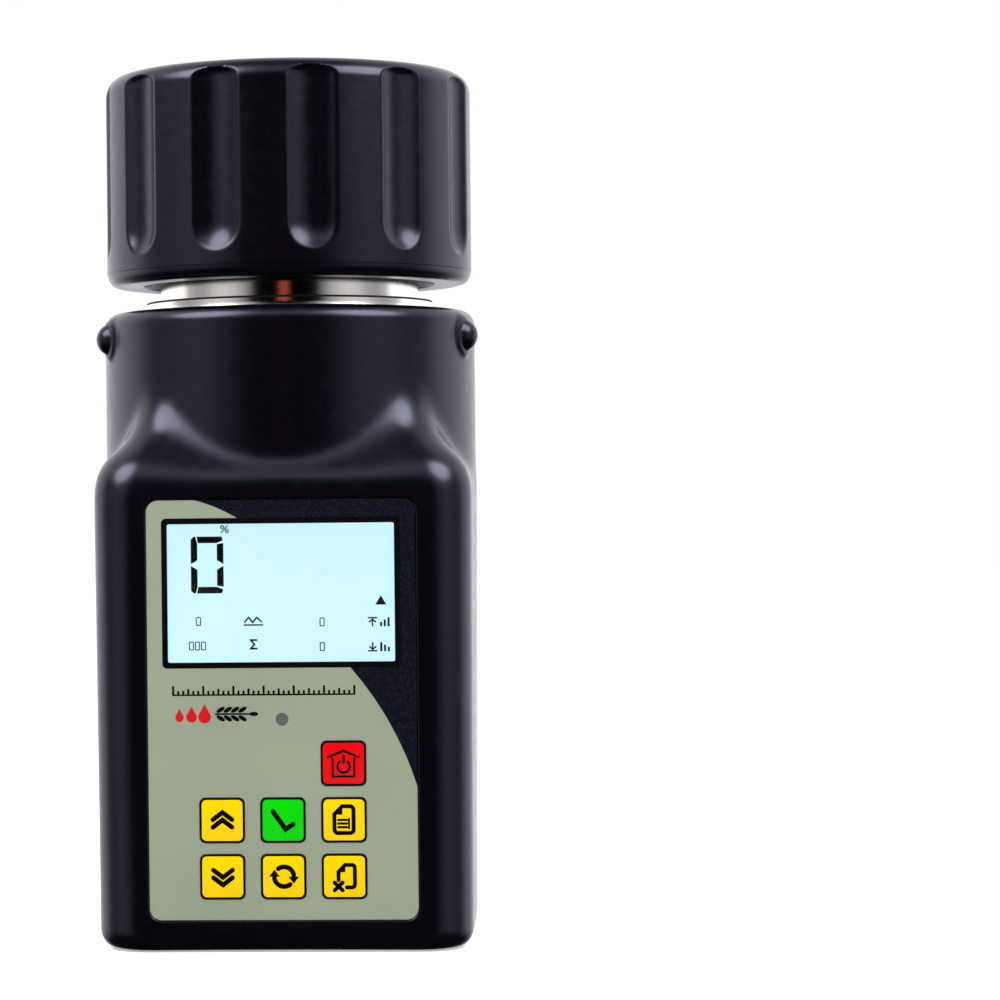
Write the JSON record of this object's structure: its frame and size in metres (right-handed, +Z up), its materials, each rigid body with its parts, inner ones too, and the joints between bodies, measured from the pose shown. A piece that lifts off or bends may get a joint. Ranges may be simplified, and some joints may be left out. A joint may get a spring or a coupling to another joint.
{
  "type": "grain moisture meter",
  "caption": "Hand-held grain moisture meter: black moulded housing with display and keypad, metal measuring cell in a round neck, and a fluted screw cap with a sprung pressure plate.",
  "frame": {"origin": "middle of the flat base", "axes": "+Z up along the cell's axis, front with keypad towards -Y, +X to the front's right"},
  "size_m": [0.0788, 0.0824, 0.1782],
  "materials": {
    "housing_plastic": "satin black",
    "cap_plastic": "satin black",
    "inner_plastic": "matt",
    "steel": "zinc plated",
    "spring_steel": "drawn wire",
    "battery_case": "plain blue sleeve",
    "black_plastic": "matt",
    "wire_jacket": "smooth",
    "foam": "foam",
    "board": "solder mask",
    "socket_plastic": "moulded",
    "backlight": "light guide",
    "lcd_glass": "liquid crystal cell on its reflector",
    "gold": "plated",
    "clear_lens": "clear",
    "overlay_film": "two colours, fine texture",
    "clear_film": "polyester film",
    "film_tail": "flexible circuit",
    "indicator": "smoked",
    "key_red": "satin film",
    "key_green": "satin film",
    "key_yellow": "satin film",
    "cell_metal": "nickel plated",
    "gasket_rubber": "matt",
    "insulator": "waxy white",
    "insert_plastic": "natural",
    "plunger_alloy": "turned",
    "button_red": "satin"
  },
  "bodies": {
    "housing": {"main_housing": "housing_plastic", "base_plate": "housing_plastic", "battery_tray": "inner_plastic", "lcd_frame": "inner_plastic", "base_screws": "steel", "board_screws": "steel", "electrode_nut": "steel", "snap_domes": "steel", "battery": "battery_case", "battery_snap": "black_plastic", "board_chips": "black_plastic", "battery_leads": "wire_jacket", "cell_leads": "wire_jacket", "battery_pad": "foam", "main_board": "board", "board_sockets": "socket_plastic", "lcd_backlight": "backlight", "lcd_glass": "lcd_glass", "lcd_pins": "gold", "sense_tag": "gold", "lcd_lens": "clear_lens", "overlay": "overlay_film", "key_spacer": "clear_film", "key_circuit": "clear_film", "keypad_tail": "film_tail", "indicator_lens": "indicator", "indicator_led": "indicator", "measuring_cell": "cell_metal", "centre_electrode": "cell_metal", "cell_nut": "cell_metal", "temperature_probe": "cell_metal", "cell_gasket": "gasket_rubber", "cell_insulator": "insulator", "lower_insulator": "insulator"},
    "battery_door": {"battery_door": "housing_plastic"},
    "cap_carrier": {"thrust_washer": "insulator", "plunger_spring": "spring_steel"},
    "cap": {"cap_shell": "cap_plastic", "thread_insert": "insert_plastic"},
    "plunger": {"pressure_plate": "plunger_alloy", "plunger_stem": "plunger_alloy", "stem_button": "button_red", "stem_screw": "steel"},
    "key_power": {"key_power": "key_red"},
    "key_report": {"key_report": "key_yellow"},
    "key_erase": {"key_erase": "key_yellow"},
    "key_enter": {"key_enter": "key_green"},
    "key_cycle": {"key_cycle": "key_yellow"},
    "key_up": {"key_up": "key_yellow"},
    "key_down": {"key_down": "key_yellow"}
  },
  "joints": [
    {"name": "battery_door_hinge", "type": "hinge", "parent": "housing", "child": "battery_door", "pos_m": [0, 0.0399, 0.0133], "axis": [-1, 0, 0], "range_deg": [0, 90]},
    {"name": "cap_lift", "type": "slide", "parent": "housing", "child": "cap_carrier", "axis": [0, 0, 1], "range_m": [-0.0048, 0.032]},
    {"name": "cap_turn", "type": "hinge", "parent": "cap_carrier", "child": "cap", "pos_m": [0, 0, 0.15], "axis": [0, 0, 1], "range_deg": [-450, 2900]},
    {"name": "plunger_travel", "type": "slide", "parent": "cap_carrier", "child": "plunger", "axis": [0, 0, 1], "range_m": [0, 0.0042], "stiffness_N_per_m": 4000, "springref_m": -0.002, "deforming": ["plunger_spring"]},
    {"name": "key_power_press", "type": "slide", "parent": "housing", "child": "key_power", "axis": [0, 1, 0], "range_m": [0, 0.0003], "stiffness_N_per_m": 3000, "springref_m": -0.0001},
    {"name": "key_report_press", "type": "slide", "parent": "housing", "child": "key_report", "axis": [0, 1, 0], "range_m": [0, 0.0003], "stiffness_N_per_m": 3000, "springref_m": -0.0001},
    {"name": "key_erase_press", "type": "slide", "parent": "housing", "child": "key_erase", "axis": [0, 1, 0], "range_m": [0, 0.0003], "stiffness_N_per_m": 3000, "springref_m": -0.0001},
    {"name": "key_enter_press", "type": "slide", "parent": "housing", "child": "key_enter", "axis": [0, 1, 0], "range_m": [0, 0.0003], "stiffness_N_per_m": 3000, "springref_m": -0.0001},
    {"name": "key_cycle_press", "type": "slide", "parent": "housing", "child": "key_cycle", "axis": [0, 1, 0], "range_m": [0, 0.0003], "stiffness_N_per_m": 3000, "springref_m": -0.0001},
    {"name": "key_up_press", "type": "slide", "parent": "housing", "child": "key_up", "axis": [0, 1, 0], "range_m": [0, 0.0003], "stiffness_N_per_m": 3000, "springref_m": -0.0001},
    {"name": "key_down_press", "type": "slide", "parent": "housing", "child": "key_down", "axis": [0, 1, 0], "range_m": [0, 0.0003], "stiffness_N_per_m": 3000, "springref_m": -0.0001}
  ],
  "couplings": [
    {"joint": "cap_turn", "follows": "cap_lift", "rad_per_m": 1570.8}
  ]
}
